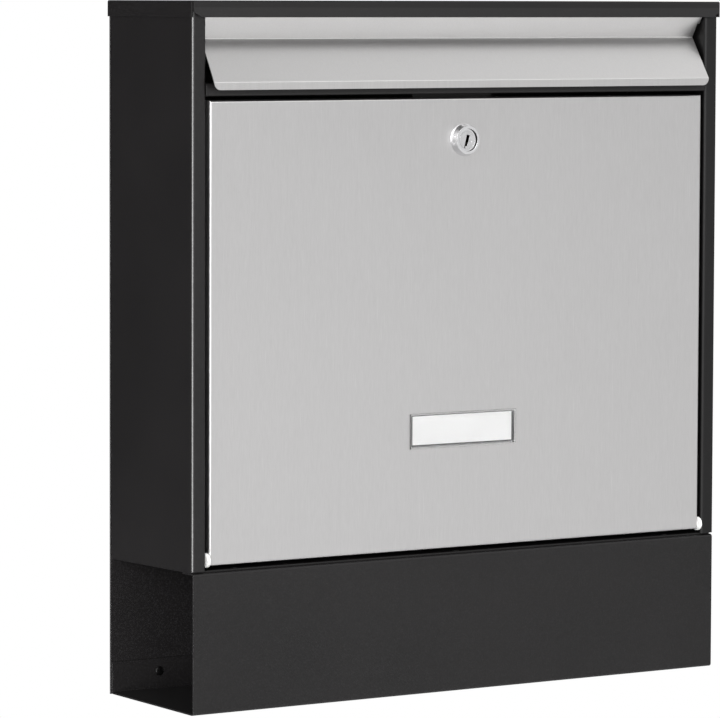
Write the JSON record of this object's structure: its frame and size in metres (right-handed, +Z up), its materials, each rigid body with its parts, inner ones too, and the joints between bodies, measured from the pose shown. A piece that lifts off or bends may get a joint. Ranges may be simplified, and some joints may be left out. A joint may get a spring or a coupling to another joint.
{
  "type": "wall mounted mailbox",
  "caption": "Flat wall mailbox in dark painted steel with a stainless locking door and letter flap, over an open-ended newspaper compartment.",
  "frame": {"origin": "centre of the four wall-screw holes, on the back face that lies on the wall", "axes": "+X to the right as seen from the front, +Y into the wall, +Z up"},
  "size_m": [0.4024, 0.1006, 0.43],
  "materials": {
    "housing_paint": "fine-textured semi-matt powder coat, anthracite black",
    "door_stainless": "satin, fine vertical brush grain",
    "flap_stainless": "satin, fine vertical brush grain",
    "lock_chrome": "polished nickel-chrome plating",
    "zinc": "bright zinc plating, slightly dull",
    "nylon": "moulded natural white nylon, satin",
    "buffer_rubber": "matt black moulded rubber",
    "window_acrylic": "clear glossy moulded acrylic",
    "card_paper": "plain white card, blank",
    "holder_plastic": "matt black moulded plastic"
  },
  "bodies": {
    "housing": {"back_panel": "housing_paint", "left_side_panel": "housing_paint", "right_side_panel": "housing_paint", "top_cover": "housing_paint", "compartment_floor": "housing_paint", "newspaper_trough": "housing_paint", "front_crossbar": "housing_paint", "crossbar_rivets": "housing_paint", "floor_rivets": "housing_paint", "trough_rivets": "housing_paint", "flap_hinge_rod": "zinc", "flap_buffers": "buffer_rubber", "door_hinge_pins": "zinc"},
    "door": {"door_panel": "door_stainless", "left_hinge_bushing": "nylon", "right_hinge_bushing": "nylon", "lock_housing": "lock_chrome", "lock_washer": "zinc", "lock_nut": "zinc", "name_window": "window_acrylic", "name_card": "card_paper", "name_card_holder": "holder_plastic"},
    "lock": {"lock_plug": "lock_chrome", "lock_cam": "zinc", "cam_screw": "zinc"},
    "flap": {"letter_flap": "flap_stainless"}
  },
  "joints": [
    {"name": "door_hinge", "type": "hinge", "parent": "housing", "child": "door", "pos_m": [0, -0.09175, -0.1415], "axis": [1, 0, 0], "range_deg": [0, 130]},
    {"name": "flap_hinge", "type": "hinge", "parent": "housing", "child": "flap", "pos_m": [0, -0.0913, 0.18915], "axis": [-1, 0, 0], "range_deg": [0, 42]},
    {"name": "lock_turn", "type": "hinge", "parent": "door", "child": "lock", "pos_m": [0, -0.0945, 0.1092], "axis": [0, -1, 0], "range_deg": [0, 90]}
  ]
}
